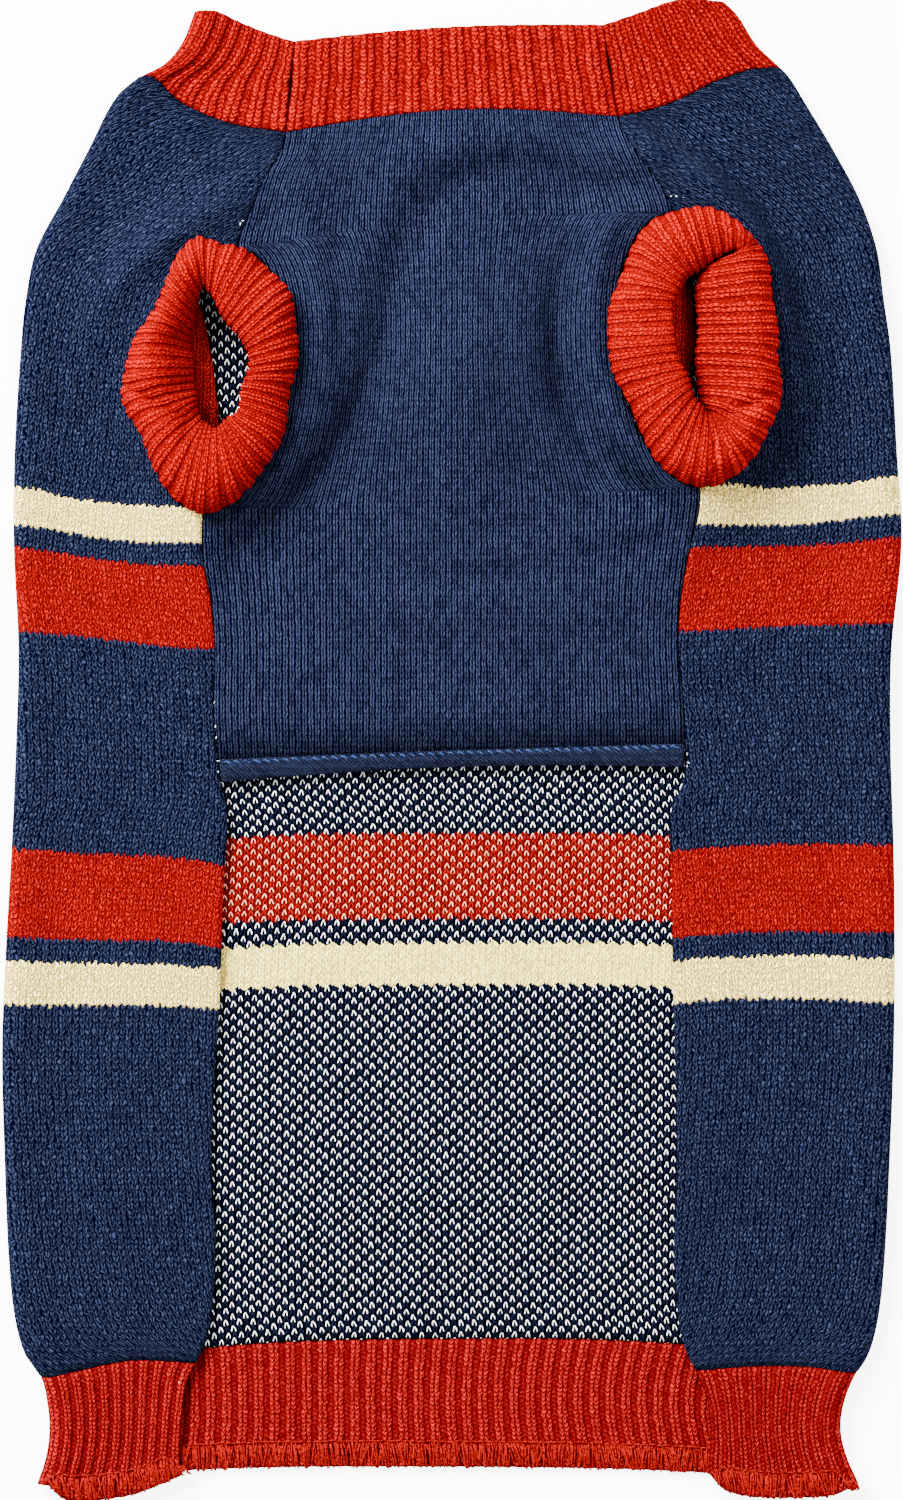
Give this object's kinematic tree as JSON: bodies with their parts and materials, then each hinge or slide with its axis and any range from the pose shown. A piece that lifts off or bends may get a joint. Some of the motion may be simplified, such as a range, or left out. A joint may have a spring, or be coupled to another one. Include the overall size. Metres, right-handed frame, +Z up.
{
  "type": "knitted dog sweater",
  "caption": "Striped knitted pet sweater laid flat, belly side up, with ribbed collar, leg cuffs and hem.",
  "frame": {"origin": "middle of the outline on the flat underside", "axes": "+Y towards the neck, +X to the right seen from above, +Z up from the surface it lies on"},
  "size_m": [0.2684, 0.4484, 0.0269],
  "materials": {
    "striped_knit": "matte",
    "plain_knit": "matte",
    "red_rib": "matte"
  },
  "bodies": {
    "root": {"back_panel": "striped_knit", "belly_panel": "plain_knit", "belly_hem": "plain_knit", "collar_belly": "red_rib", "collar_back": "red_rib", "hem_rib": "red_rib", "cuff_left": "red_rib", "cuff_right": "red_rib"}
  },
  "joints": []
}
